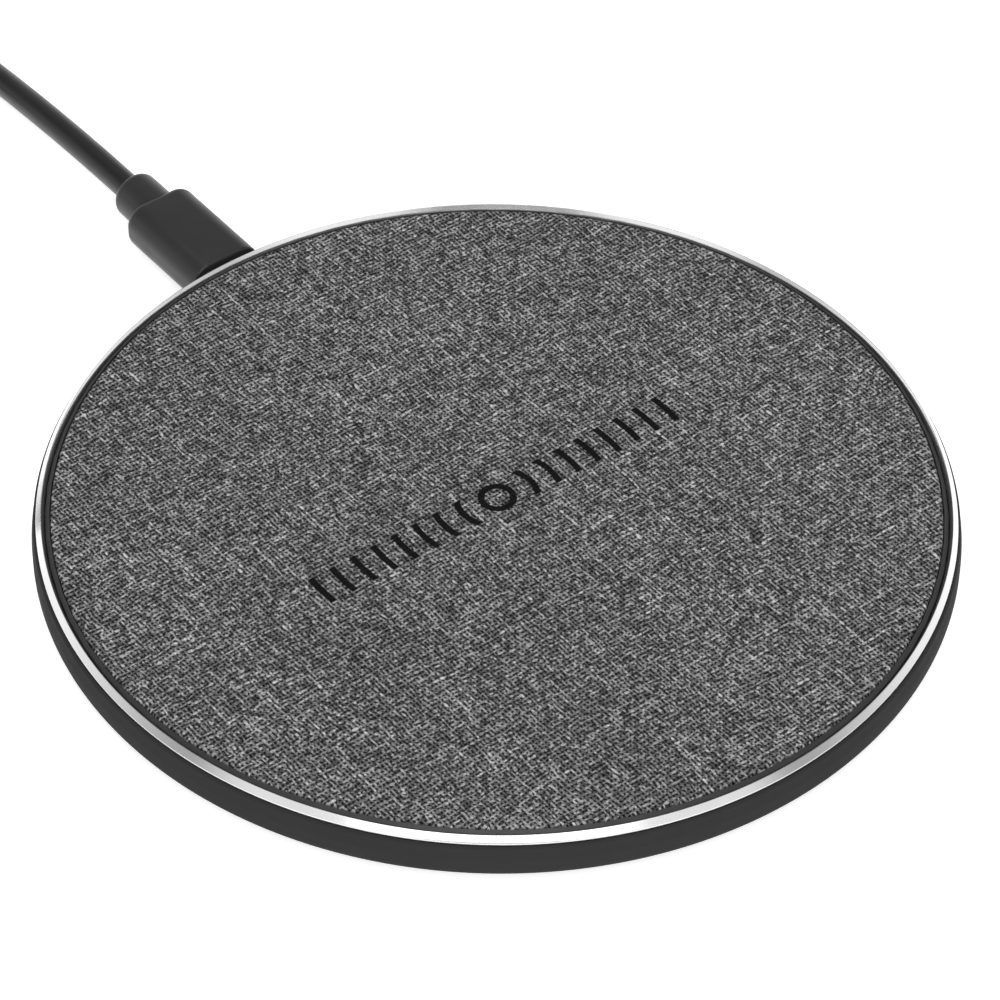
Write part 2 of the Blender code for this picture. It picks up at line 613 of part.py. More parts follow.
def make_cable_tie():
    """Flat strap bent into a closed loop around the coil."""
    middle = (CORD_COIL_INNER_RADIUS + CORD_COIL_OUTER_RADIUS) / 2
    across = CORD_COIL_OUTER_RADIUS - CORD_COIL_INNER_RADIUS + 2 * (TIE_THICKNESS + GAP)
    high = TIE_TOP_Z - TIE_BOTTOM_Z
    outer = rounded_rectangle(across, high, 1.8 * MM)
    inner = rounded_rectangle(across - 2 * TIE_THICKNESS, high - 2 * TIE_THICKNESS, 1.2 * MM)
    tie = flat_outline("cable_tie", [outer, inner], -TIE_WIDTH / 2, TIE_WIDTH / 2,
                       dark_plastic("tie plastic", 0.02, 0.6))
    place = (COIL_CENTRE.x, COIL_CENTRE.y + middle, (TIE_BOTTOM_Z + TIE_TOP_Z) / 2)
    tie.matrix_world = (Matrix.Translation(place)
                        @ Matrix.Rotation(math.radians(90.0), 4, "Y")
                        @ Matrix.Rotation(math.radians(90.0), 4, "Z"))


def make_charger_plug():
    centre = (USB_A_AXIS_X, USB_A_Z)
    width, height, corner = 15.6 * MM, 7.6 * MM, 1.6 * MM
    relief_radius = 2.7 * MM
    relief = [(USB_A_RELIEF_START_Y, 4.4 * MM, 4.4 * MM, 2.15 * MM),
              (USB_A_RELIEF_END_Y, 2 * relief_radius, 2 * relief_radius, relief_radius * 0.98)]
    loft_along_y("charger_plug_relief", relief, dark_plastic("charger relief", 0.05, 0.5), centre)

    body_start = USB_A_RELIEF_END_Y - SEAM
    sections = rounded_end(USB_A_BODY_END_Y, width, height, corner, 0.5 * MM, -1, 2)[::-1]
    sections += rounded_end(body_start, width, height, corner, 1.2 * MM, 1)
    body = loft_along_y("charger_plug_overmould", sections, dark_plastic("charger plug", 0.05, 0.5), centre)
    pocket_ends = (USB_A_BODY_END_Y - MM, USB_A_BODY_END_Y + 6.0 * MM)
    pocket = [(y, 12.3 * MM, 4.8 * MM, 0.4 * MM) for y in pocket_ends]
    cut(body, loft_along_y("charger shell pocket", pocket, None, centre, CUTTERS))

    shell_back = USB_A_BODY_END_Y + 5.7 * MM
    sleeve = [(y, 12.0 * MM, 4.5 * MM, 0.5 * MM) for y in (USB_A_SHELL_END_Y, shell_back)]
    shell = loft_along_y("charger_plug_shell", sleeve, metal("charger plug steel", 0.7, 0.25), centre)
    mouth = [(y, 11.4 * MM, 3.9 * MM, 0.3 * MM) for y in (USB_A_SHELL_END_Y - MM, shell_back - 0.5 * MM)]
    cut(shell, loft_along_y("charger shell mouth", mouth, None, centre, CUTTERS))

    block_low = USB_A_Z - 1.85 * MM
    block_height = 1.7 * MM
    back = shell_back - 0.6 * MM
    front = USB_A_SHELL_END_Y + 0.4 * MM
    box("charger_plug_insulator", (11.1 * MM, back - front, block_height),
        (USB_A_AXIS_X, (back + front) / 2, block_low + block_height / 2),
        dark_plastic("plug insulator", 0.03, 0.4), 0.1 * MM)
    contact = (1.2 * MM, 8.5 * MM, 0.2 * MM)
    for number, offset in enumerate((-3.5, -1.0, 1.0, 3.5), start=1):
        box(f"charger_plug_contact_{number}", contact,
            (USB_A_AXIS_X + offset * MM, front + 0.8 * MM + contact[1] / 2,
             block_low + block_height + 0.1 * MM + contact[2] / 2),
            material(f"gold contact {number}", (0.9, 0.65, 0.25), 0.25, 1.0))


# ---------------------------------------------------------------- assembly

make_fabric_top()
make_fabric_adhesive()
make_top_panel()
make_trim_ring()
make_housing()
make_bottom_cover()
make_antislip_ring()
for screw_number, screw_angle in enumerate(SCREW_ANGLES, start=1):
    make_screw(screw_number, polar(SCREW_CIRCLE_RADIUS, screw_angle))
make_ferrite()
make_ferrite_foam()
make_transmitter_coil()
make_thermistor()
make_circuit_board()
make_socket()
make_board_components()
make_status_light()
make_plug()
make_cord()
make_cord_coil()
make_cable_tie()
make_charger_plug()
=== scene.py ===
"""Looks of a round fabric-topped wireless charging pad with its plug-in cable, built round the CAD frame."""
import math

import bpy
import numpy as np
from mathutils import Matrix, Quaternion, Vector


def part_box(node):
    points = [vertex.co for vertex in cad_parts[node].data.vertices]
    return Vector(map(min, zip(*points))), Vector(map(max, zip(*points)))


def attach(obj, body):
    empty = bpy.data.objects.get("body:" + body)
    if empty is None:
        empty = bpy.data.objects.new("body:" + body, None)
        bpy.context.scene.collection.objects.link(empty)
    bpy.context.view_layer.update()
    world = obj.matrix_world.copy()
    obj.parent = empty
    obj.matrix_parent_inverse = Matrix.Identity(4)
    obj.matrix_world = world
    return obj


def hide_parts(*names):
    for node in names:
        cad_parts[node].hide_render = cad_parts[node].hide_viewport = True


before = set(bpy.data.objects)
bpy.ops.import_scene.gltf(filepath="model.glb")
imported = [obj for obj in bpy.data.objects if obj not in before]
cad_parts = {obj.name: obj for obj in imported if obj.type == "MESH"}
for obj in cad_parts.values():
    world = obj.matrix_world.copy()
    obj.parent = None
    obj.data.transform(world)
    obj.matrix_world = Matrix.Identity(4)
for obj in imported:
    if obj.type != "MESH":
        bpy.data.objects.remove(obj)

MM = 0.001
TAU = 2.0 * math.pi
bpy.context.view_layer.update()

PAD = "pad"
CABLE = "cable"


def low(node):
    """A CAD node's lowest corner at rest."""
    return Vector(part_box(node)[0])


def high(node):
    """A CAD node's highest corner at rest."""
    return Vector(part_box(node)[1])


def middle(node):
    return (low(node) + high(node)) / 2


# Sizes that several pieces share, read from the frame
PAD_RADIUS = high("housing").x
CREST_Z = high("trim_ring").z
FABRIC_RADIUS = high("fabric_top").x
FABRIC_TOP = high("fabric_top").z
FABRIC_BOTTOM = low("fabric_top").z
PLUG_Z = middle("plug_overmould").z
CORD_RADIUS = 1.6 * MM
LEAST_CORNER = 0.05 * MM         # of a section that a rounded end narrows


# ---------------------------------------------------------------- camera

CAMERA_AZIMUTH = math.radians(-38.4)
CAMERA_ELEVATION = math.radians(43.64)
CAMERA_DISTANCE = 488.4 * MM
CAMERA_LENS = 163.76
CAMERA_ROLL = math.radians(0.809)
CAMERA_SHIFT = (0.0027, -0.0032)

# The camera's own directions along the floor, in the row frame
CAMERA_RIGHT = Vector((math.cos(CAMERA_AZIMUTH), math.sin(CAMERA_AZIMUTH), 0.0))
CAMERA_AWAY = Vector((-math.sin(CAMERA_AZIMUTH), math.cos(CAMERA_AZIMUTH), 0.0))


def from_camera(right, away, up):
    """A row-frame direction given along the camera's right, away from it and up."""
    return CAMERA_RIGHT * right + CAMERA_AWAY * away + Vector((0.0, 0.0, up))


def make_camera():
    data = bpy.data.cameras.new("camera")
    data.lens = CAMERA_LENS
    data.sensor_width = 36.0
    data.shift_x, data.shift_y = CAMERA_SHIFT
    data.clip_start = 0.01
    data.clip_end = 20.0
    camera = bpy.data.objects.new("camera", data)
    bpy.context.scene.collection.objects.link(camera)
    back = from_camera(0.0, -math.cos(CAMERA_ELEVATION), math.sin(CAMERA_ELEVATION))
    camera.location = Vector((0.0, 0.0, CREST_Z)) + back * CAMERA_DISTANCE
    camera.rotation_mode = "QUATERNION"
    aim = (-back).to_track_quat("-Z", "Y")
    camera.rotation_quaternion = aim @ Quaternion((0.0, 0.0, 1.0), CAMERA_ROLL)
    bpy.context.scene.camera = camera


make_camera()


# ---------------------------------------------------------------- mesh helpers

def add_mesh(name, points, faces, smooth_angle=40.0):
    """A mesh object from points and faces, smooth but for edges sharper than the angle."""
    mesh = bpy.data.meshes.new(name)
    mesh.from_pydata([tuple(p) for p in points], [], faces)
    mesh.update()
    mesh.shade_smooth()
    mesh.set_sharp_from_angle(angle=math.radians(smooth_angle))
    made = bpy.data.objects.new(name, mesh)
    bpy.context.scene.collection.objects.link(made)
    return made


def strip_faces(rows, count, cyclic_rows=False, flip=False):
    """Quads between consecutive closed rings of `count` points each."""
    faces = []
    for row in range(rows if cyclic_rows else rows - 1):
        below = (row + 1) % rows
        for i in range(count):
            j = (i + 1) % count
            quad = (row * count + i, row * count + j, below * count + j, below * count + i)
            faces.append(quad[::-1] if flip else quad)
    return faces


def turned(name, profile, segments=512, smooth_angle=40.0):
    """Turn a (radius, height) profile about the Z axis. It runs down the outer side.
    A profile that starts and ends on the axis closes itself; any other is a closed ring."""
    on_axis = profile[0][0] == 0.0
    rings = profile[1:-1] if on_axis else profile
    angles = np.arange(segments) * TAU / segments
    points = []
    for radius, height in rings:
        around = np.stack([radius * np.cos(angles), radius * np.sin(angles), np.full(segments, height)],
                          axis=1)
        points.extend(around.tolist())
    faces = strip_faces(len(rings), segments, cyclic_rows=not on_axis, flip=True)
    if on_axis:
        top, bottom = len(points), len(points) + 1
        points += [(0.0, 0.0, profile[0][1]), (0.0, 0.0, profile[-1][1])]
        last = (len(rings) - 1) * segments
        for i in range(segments):
            j = (i + 1) % segments
            faces.append((top, i, j))
            faces.append((bottom, last + j, last + i))
    return add_mesh(name, points, faces, smooth_angle)


def rounded(corners, radii, pieces=5):
    """An outline with its corners rounded to the given radii. A corner of radius 0 stays sharp."""
    made = []
    for i, (corner, radius) in enumerate(zip(corners, radii)):
        here = Vector(corner)
        if not radius:
            made.append(tuple(here))
            continue
        before = Vector(corners[i - 1]) - here
        after = Vector(corners[(i + 1) % len(corners)]) - here
        half = before.angle(after) / 2
        reach = min(radius / math.tan(half), before.length * 0.49, after.length * 0.49)
        start, end = here + before.normalized() * reach, here + after.normalized() * reach
        for k in range(pieces + 1):
            t = k / pieces
            made.append(tuple(start * (1 - t) ** 2 + here * 2 * t * (1 - t) + end * t ** 2))
    return made


def rounded_rectangle(width, depth, corner, count):
    """Points of a rounded rectangle, all of them on its corners and evenly spaced by angle there."""
    corner = min(corner, width / 2, depth / 2)
    outline = []
    quarter = count // 4
    for turn in range(4):
        sx = (1, -1, -1, 1)[turn]
        sz = (1, 1, -1, -1)[turn]
        cx, cz = sx * (width / 2 - corner), sz * (depth / 2 - corner)
        for i in range(quarter):
            angle = math.radians(90.0) * (turn + i / (quarter - 1))
            outline.append((cx + corner * math.cos(angle), cz + corner * math.sin(angle)))
    return outline


def lofted(name, sections, centre, count=96):
    """A closed body along Y through rounded rectangles given as (y, width, height, corner).
    Known fault: its faces point inwards, so a cutter made here takes nothing away."""
    points = []
    for y, width, height, corner in sections:
        ring = rounded_rectangle(width, height, corner, count)
        points += [(centre[0] + x, y, centre[1] + z) for x, z in ring]
    faces = strip_faces(len(sections), count, flip=sections[0][0] > sections[-1][0])
    first = tuple(range(count))
    last = tuple(range((len(sections) - 1) * count, len(sections) * count))
    if sections[0][0] > sections[-1][0]:
        faces += [first, last[::-1]]
    else:
        faces += [first[::-1], last]
    return add_mesh(name, points, faces, smooth_angle=50.0)


def rounded_end(y, width, height, corner, fillet, towards, pieces=8):
    """Sections that round a lofted body off at y, in order, as it ends towards +Y or -Y."""
    made = []
    for i in range(pieces + 1):
        angle = math.radians(90.0) * i / pieces
        inset = fillet * (1 - math.cos(angle))
        along = y - towards * fillet * (1 - math.sin(angle))
        made.append((along, width - 2 * inset, height - 2 * inset, max(corner - inset, LEAST_CORNER)))
    return made


# ---------------------------------------------------------------- cord

# The route that the CAD tube takes, from the strain relief to the coil
LEAD_ROUTE = [(0.0, 69.3, 4.0), (0.0, 74.0, 3.98), (0.0, 80.0, 3.86), (-0.05, 87.0, 3.6),
              (-0.1, 95.0, 3.1), (-0.15, 103.0, 2.4), (-0.2, 110.0, 1.85), (-0.2, 117.6, 1.62)]
RUN_IN = (121.5 * MM, 126.5 * MM)       # where it lies flat beside the coil's first turn
COIL_CENTRE = middle("cord_coil")
OUTER_TURN = (high("cord_coil").x - low("cord_coil").x) / 2 - CORD_RADIUS
COIL_PITCH = 2 * CORD_RADIUS
LAYER_TURNS = 4.0
CLIMB_TURNS = 0.5
INNER_TURN = OUTER_TURN - LAYER_TURNS * COIL_PITCH
POINTS_PER_TURN = 40
TIE_LIFT = 0.65 * MM             # how far the tie's strip raises the turns above it
TIE_SPREAD = 7.0 * MM            # over this length to either side of the tie
TIE_ANGLE = math.radians(90.0)


def smooth_step(value, start=0.0, end=1.0):
    t = min(max((value - start) / (end - start), 0.0), 1.0)
    return t * t * (3 - 2 * t)


def coil_point(turn):
    """The cord's centre after that many turns: in along the floor, up, and out on top."""
    angle = TAU * turn
    climb_end = LAYER_TURNS + CLIMB_TURNS
    beside = 1.0
    if turn <= LAYER_TURNS:
        radius = OUTER_TURN - COIL_PITCH * turn
    else:
        radius = INNER_TURN + COIL_PITCH * max(turn - climb_end, 0.0)
        phase = (2 * (turn - climb_end) + 0.5) % 1.0
        beside = 1.0 - abs(2 * phase - 1.0)
    offset = CORD_RADIUS * beside
    stacked = math.sqrt(COIL_PITCH ** 2 - offset ** 2)
    height = CORD_RADIUS + stacked * smooth_step(turn, LAYER_TURNS - 0.05, climb_end)
    away = math.remainder(angle - TIE_ANGLE, TAU)
    height += TIE_LIFT * math.exp(-(away * radius / TIE_SPREAD) ** 2)
    return Vector((COIL_CENTRE.x + radius * math.cos(angle), COIL_CENTRE.y + radius * math.sin(angle),
                   height))


def cord_route():
    """Every point of the cord, from the plug's strain relief to the charger plug's."""
    points = [Vector(p) * MM for p in LEAD_ROUTE]
    lead_x = points[-1].x
    points += [Vector((lead_x, y, CORD_RADIUS)) for y in RUN_IN]
    turns = 2 * LAYER_TURNS + CLIMB_TURNS
    steps = int(turns * POINTS_PER_TURN)
    points += [coil_point(turns * i / steps) for i in range(steps + 1)]
    last = points[-1]
    end_y, end_z = high("charger_plug_relief").y + 0.3 * MM, middle("charger_plug_relief").z
    for share in (0.3, 0.55, 0.8, 1.0):
        ease = smooth_step(share)
        points.append(Vector((last.x, last.y + (end_y - last.y) * share, last.z + (end_z - last.z) * ease)))
    return points


def through(points, pieces):
    """Catmull-Rom curve through the points, with spacing taken into account."""
    ends = [2 * points[0] - points[1], *points, 2 * points[-1] - points[-2]]
    made = []
    for a, b, c, d in zip(ends, ends[1:], ends[2:], ends[3:]):
        span = (c - b).length
        into = (c - a) * (span / max((c - b).length + (b - a).length, 1e-9))
        out = (d - b) * (span / max((d - c).length + (c - b).length, 1e-9))
        for i in range(pieces):
            t = i / pieces
            made.append(b * (2 * t ** 3 - 3 * t ** 2 + 1) + into * (t ** 3 - 2 * t ** 2 + t)
                        + c * (3 * t ** 2 - 2 * t ** 3) + out * (t ** 3 - t ** 2))
    made.append(ends[-2])
    return made


def make_cord():
    route = through(cord_route(), 2)
    data = bpy.data.curves.new("usb_cord", "CURVE")
    data.dimensions = "3D"
    data.bevel_depth = 1.0
    data.bevel_resolution = 8
    data.use_fill_caps = True
    spline = data.splines.new("POLY")
    spline.points.add(len(route) - 1)
    for point, place in zip(spline.points, route):
        point.co = (*place, 1.0)
        point.radius = CORD_RADIUS
    spline.use_smooth = True
    cord = bpy.data.objects.new("usb_cord", data)
    bpy.context.scene.collection.objects.link(cord)
    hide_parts("cord", "cord_coil", "cord_far_end")
    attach(cord, CABLE)
    return cord


cord = make_cord()


# ---------------------------------------------------------------- material helpers

class Look:
    """A node material being built. Values of sockets are numbers, colours or other nodes' outputs."""

    def __init__(self, name):
        self.material = bpy.data.materials.new(name)
        self.material.use_nodes = True
        self.tree = self.material.node_tree
        self.shader = self.tree.nodes["Principled BSDF"]
        self.place = self.node("ShaderNodeTexCoord").outputs["Object"]

    def node(self, kind, **settings):
        made = self.tree.nodes.new(kind)
        for key, value in settings.items():
            setattr(made, key, value)
        return made

    def join(self, value, socket):
        if isinstance(value, bpy.types.NodeSocket):
            self.tree.links.new(value, socket)
        else:
            socket.default_value = value

    def math(self, operation, *values):
        made = self.node("ShaderNodeMath", operation=operation)
        for value, socket in zip(values, made.inputs):
            self.join(value, socket)
        return made.outputs[0]

    def span(self, value, start, end, low_value=0.0, high_value=1.0, smooth=False):
        """Map value from start..end to low..high, clamped."""
        made = self.node("ShaderNodeMapRange", interpolation_type="SMOOTHSTEP" if smooth else "LINEAR")
        for item, socket in zip((value, start, end, low_value, high_value), made.inputs):
            self.join(item, socket)
        return made.outputs[0]

    def axes(self):
        made = self.node("ShaderNodeSeparateXYZ")
        self.join(self.place, made.inputs[0])
        return made.outputs

    def radius(self, x, y):
        """The distance from the pad's axis."""
        squares = self.math("ADD", self.math("MULTIPLY", x, x), self.math("MULTIPLY", y, y))
        return self.math("SQRT", squares)

    def vector(self, x, y, z):
        made = self.node("ShaderNodeCombineXYZ")
        for value, socket in zip((x, y, z), made.inputs):
            self.join(value, socket)
        return made.outputs[0]

    def noise(self, per_mm, vector=None, detail=2.0, roughness=0.5, stretch=None):
        """Noise from 0 to 1 with features of about 1/per_mm millimetres. For a vector that counts
        threads, per_mm is given times MM, and the features are about 1/per_mm threads."""
        source = vector or self.place
        if stretch is not None:
            scaled = self.node("ShaderNodeVectorMath", operation="MULTIPLY")
            self.join(source, scaled.inputs[0])
            scaled.inputs[1].default_value = stretch
            source = scaled.outputs[0]
        made = self.node("ShaderNodeTexNoise")
        self.join(source, made.inputs["Vector"])
        made.inputs["Scale"].default_value = per_mm / MM
        made.inputs["Detail"].default_value = detail
        made.inputs["Roughness"].default_value = roughness
        return made.outputs[0]

    def random(self, *values):
        """A different number from 0 to 1 for each whole cell of the given values."""
        made = self.node("ShaderNodeTexWhiteNoise", noise_dimensions="3D")
        self.join(self.vector(*values), made.inputs[0])
        return made.outputs["Value"]

    def mix(self, share, first, second):
        made = self.node("ShaderNodeMix", data_type="RGBA")
        self.join(share, made.inputs["Factor"])
        for value, socket in ((first, made.inputs[6]), (second, made.inputs[7])):
            self.join(value, socket)
        return made.outputs[2]

    def bump(self, height, distance, strength=1.0):
        """A bump of the given height in metres where height goes from 0 to 1."""
        made = self.node("ShaderNodeBump")
        made.inputs["Strength"].default_value = strength
        made.inputs["Distance"].default_value = distance
        self.join(height, made.inputs["Height"])
        return made.outputs[0]

    def set(self, **values):
        """Set the shader's sockets; names have underscores for spaces."""
        for key, value in values.items():
            self.join(value, self.shader.inputs[key.replace("_", " ")])

    def on(self, *pieces):
        for piece in pieces:
            piece.data.materials.clear()
            piece.data.materials.append(self.material)


MOULDED_CONTRAST = 0.18          # how far the lightest and darkest patches are from the level
MOULDED_GLOSS_SPAN = 0.05        # the same for the roughness, not as a share
BRUSH_HEIGHT = 0.002 * MM


def grey(level, warmth=0.0):
    return (level * (1 + warmth), level, level * (1 - warmth), 1.0)


def moulded(name, level, roughness, grain_mm, grain_height, warmth=0.0, specular=0.5):
    """Moulded plastic or elastomer: fine eroded grain, soft patches and a little uneven gloss."""
    look = Look(name)
    grain = look.noise(1.0 / grain_mm, detail=3.0, roughness=0.55)
    patches = look.noise(0.12, detail=3.0)
    shade = look.math("ADD", look.math("MULTIPLY", grain, 0.5), look.math("MULTIPLY", patches, 0.5))
    dark, light = level * (1 - MOULDED_CONTRAST), level * (1 + MOULDED_CONTRAST)
    colour = look.mix(shade, grey(dark, warmth), grey(light, warmth))
    gloss = look.span(look.noise(0.35, detail=4.0), 0.3, 0.7,
                      roughness - MOULDED_GLOSS_SPAN, roughness + MOULDED_GLOSS_SPAN)
    look.set(Base_Color=colour, Roughness=gloss, Normal=look.bump(grain, grain_height * MM))
    look.set(Specular_IOR_Level=specular)
    return look


def metal(name, level, roughness, brushed=(1.0, 1.0, 1.0), warmth=0.0):
    """Plated or bare metal with fine drawing lines, stretched along the small components."""
    look = Look(name)
    lines = look.noise(6.0, detail=3.0, stretch=brushed)
    smears = look.noise(0.2, detail=3.0)
    colour = look.mix(smears, grey(level * 0.93, warmth), grey(level * 1.04, warmth))
    gloss = look.span(look.math("ADD", lines, smears), 0.6, 1.4, roughness * 0.8, roughness * 1.25)
    look.set(Base_Color=colour, Roughness=gloss, Normal=look.bump(lines, BRUSH_HEIGHT))
    look.set(Metallic=1.0)
    return look


# ---------------------------------------------------------------- woven fabric

WARP_PITCH = 0.474 * MM          # threads that run along Y, beside each other along X
WEFT_PITCH = 0.539 * MM          # threads that run along X
WEAVE_HEIGHT = 0.11 * MM
LANE_STEPS = (9.7, 17.31)        # so far apart in the noise that no thread is like the next
THREAD_HALF_WIDTH = 0.17         # at a thread's thinnest, as a share of the pitch
THREAD_SWELL = 0.26              # how much wider its lumps make it
OVER_HEIGHT = 0.38               # how far a thread rises where it passes over another
SWAY = (2.4, 2.2)                # how far warp and weft wander over a centimetre or so, in threads
JITTER = 0.9                     # and over a millimetre or so
FIBRE_RANGE = (0.41, 1.19)
FIBRE_STOPS = ((0.0, 0.022), (0.35, 0.066), (0.55, 0.162), (0.75, 0.365), (1.0, 0.66))
MARK_RING_RADIUS = 1.75 * MM
MARK_PITCH = 2.7 * MM
MARK_REACH = 24.0 * MM
MARK_HALF_HEIGHT = 2.15 * MM
MARK_STROKE = 0.76 * MM


def thread_set(look, across, along, number, crossing, sign):
    """One set of threads: how high its surface is, with threads of uneven thickness.
    across and along count threads; number and crossing are their whole parts."""
    odd = look.math("SUBTRACT", 1.0, look.math("MULTIPLY", look.math("FLOORED_MODULO", number, 2.0), 2.0))
    wave = look.math("SINE", look.math("MULTIPLY", along, math.pi))
    over = look.math("MULTIPLY", look.math("MULTIPLY", odd, wave), sign)
    lane = look.math("MULTIPLY", number, LANE_STEPS[0])
    lumps = look.noise(1.1 * MM, look.vector(along, lane, 60.0 * sign), detail=1.0)
    centred = look.math("SUBTRACT", look.math("SUBTRACT", across, number), 0.5)
    swell = look.math("MULTIPLY_ADD", lumps, THREAD_SWELL, THREAD_HALF_WIDTH)
    ratio = look.math("DIVIDE", centred, swell)
    belly = look.math("SUBTRACT", 1.0, look.math("MULTIPLY", ratio, ratio))
    lifted = look.math("MULTIPLY_ADD", look.random(number, crossing, 7.0 * sign), 1.0, -0.5)
    return look.math("ADD", look.math("ADD", look.math("MULTIPLY", over, OVER_HEIGHT), belly), lifted)


def fibre_shade(look, number, along, across, seed):
    """Light and dark fibres spun together: dashes along the thread, different in each one."""
    lane = look.math("MULTIPLY", number, LANE_STEPS[1])
    dashes = look.noise(1.1 * MM, look.vector(along, lane, seed), detail=1.0)
    long = look.noise(0.08 * MM, look.vector(along, lane, seed + 40.0), detail=1.0)
    strands = look.noise(1.0 * MM, look.vector(look.math("MULTIPLY", along, 1.4),
                                               look.math("MULTIPLY", across, 4.2), seed + 80.0), detail=1.0)
    spots = look.random(number, look.math("FLOOR", look.math("ADD", along, 0.5)), seed)
    slubs = look.span(long, 0.58, 0.72, 0.15, 0.32, smooth=True)
    mixed = look.math("ADD", look.math("MULTIPLY", dashes, 0.5), slubs)
    mixed = look.math("ADD", mixed, look.math("MULTIPLY", strands, 0.6))
    return look.math("ADD", mixed, look.math("MULTIPLY", spots, 0.3))


def fabric_look():
    look = Look("melange weave")
    x, y, _ = look.axes()
    sway = look.noise(0.09, detail=2.0)
    sway_across = look.noise(0.11, detail=2.0, stretch=(1.0, 1.0, 1.7))
    jitter = look.noise(0.8, detail=1.0, stretch=(1.0, 0.6, 1.0))
    jitter_across = look.noise(0.8, detail=1.0, stretch=(0.6, 1.0, 1.0))
    bend = look.math("ADD", look.math("MULTIPLY", sway, SWAY[0]), look.math("MULTIPLY", jitter, JITTER))
    bend_across = look.math("ADD", look.math("MULTIPLY", sway_across, SWAY[1]),
                            look.math("MULTIPLY", jitter_across, JITTER))
    u = look.math("ADD", look.math("DIVIDE", x, WARP_PITCH), bend)
    v = look.math("ADD", look.math("DIVIDE", y, WEFT_PITCH), bend_across)
    i, j = look.math("FLOOR", u), look.math("FLOOR", v)
    warp = thread_set(look, u, v, i, j, 1.0)
    weft = thread_set(look, v, u, j, i, -1.0)
    height = look.math("MAXIMUM", warp, weft)
    on_warp = look.math("GREATER_THAN", warp, weft)
    warp_fibres = fibre_shade(look, i, v, u, 5.0)
    weft_fibres = fibre_shade(look, j, u, v, 23.0)
    fibres = look.math("ADD", look.math("MULTIPLY", on_warp, warp_fibres),
                       look.math("MULTIPLY", look.math("SUBTRACT", 1.0, on_warp), weft_fibres))
    bands = look.noise(0.05, detail=3.0)
    toned = look.math("ADD", fibres, look.math("MULTIPLY", look.math("SUBTRACT", bands, 0.5), 0.08))
    ramp = look.node("ShaderNodeValToRGB")
    look.join(look.span(toned, *FIBRE_RANGE), ramp.inputs[0])
    fill_ramp(ramp, FIBRE_STOPS)
    # Painted shade: the fibre colour is multiplied down where the weave is low, so the hollows between
    # threads are darker
    raised = look.span(height, 0.05, 1.0, 0.1, 1.0, smooth=True)
    shaded = look.node("ShaderNodeMix", data_type="RGBA", blend_type="MULTIPLY")
    shaded.inputs["Factor"].default_value = 1.0
    look.join(ramp.outputs[0], shaded.inputs[6])
    look.join(look.vector(raised, raised, raised), shaded.inputs[7])
    mark = mark_mask(look, x, y)
    # The print is painted darker in the weave's hollows and lighter on the raised threads: painted shade
    ink = look.mix(look.math("MULTIPLY", height, 0.6), grey(0.004), grey(0.011))
    colour = look.mix(mark, shaded.outputs[2], ink)
    fuzz = look.noise(9.0, detail=2.0)
    relief = look.math("ADD", height, look.math("MULTIPLY", fuzz, 0.25))
    look.set(Base_Color=colour, Roughness=look.span(mark, 0.0, 1.0, 0.95, 0.8))
    look.set(Normal=look.bump(relief, WEAVE_HEIGHT, strength=0.45))
    look.set(Specular_IOR_Level=0.06)
    return look


def fill_ramp(ramp, stops):
    """Grey stops of a colour ramp, as (position, linear level)."""
    elements = ramp.color_ramp.elements
    while len(elements) < len(stops):
        elements.new(0.5)
    for element, (position, level) in zip(elements, stops):
        element.position = position
        element.color = grey(level)


def mark_mask(look, x, y):
    """Where the printed mark is: a ring with arcs about it, like the turns of a coil, cut to a band."""
    radius = look.radius(x, y)
    turn = look.math("DIVIDE", look.math("SUBTRACT", radius, MARK_RING_RADIUS), MARK_PITCH)
    away = look.math("ABSOLUTE", look.math("SUBTRACT", turn, look.math("ROUND", turn)))
    half = MARK_STROKE / MARK_PITCH / 2
    ragged = look.math("MULTIPLY", look.math("SUBTRACT", look.noise(3.0, detail=1.0), 0.5), 0.02)
    line = look.span(look.math("ADD", away, ragged), half - 0.01, half + 0.01, 1.0, 0.0)
    soft = 0.04 * MM
    band = look.span(look.math("ABSOLUTE", y), MARK_HALF_HEIGHT - soft, MARK_HALF_HEIGHT + soft, 1.0, 0.0)
    inside = look.math("LESS_THAN", radius, MARK_REACH)
    return look.math("MULTIPLY", look.math("MULTIPLY", line, band), inside)


def make_fabric():
    """The disc of cloth over the panel, with its cut edge turned down."""
    edge = 0.3 * MM
    profile = [(0.0, FABRIC_TOP)]
    profile += [(FABRIC_RADIUS * share, FABRIC_TOP) for share in np.linspace(0.04, 0.96, 24)]
    for i in range(9):
        angle = math.radians(90.0) * (1 - i / 8)
        profile.append((FABRIC_RADIUS - edge + edge * math.cos(angle),
                        FABRIC_TOP - edge + edge * math.sin(angle)))
    profile += [(FABRIC_RADIUS, FABRIC_BOTTOM + 0.1 * MM), (FABRIC_RADIUS - 0.05 * MM, FABRIC_BOTTOM)]
    profile += [(FABRIC_RADIUS * share, FABRIC_BOTTOM) for share in (0.8, 0.5, 0.2)]
    profile += [(0.0, FABRIC_BOTTOM)]
    fabric = turned("fabric_cover", profile)
    fabric_look().on(fabric)
    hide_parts("fabric_top")
    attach(fabric, PAD)


# ---------------------------------------------------------------- carrier lip, trim ring and side wall

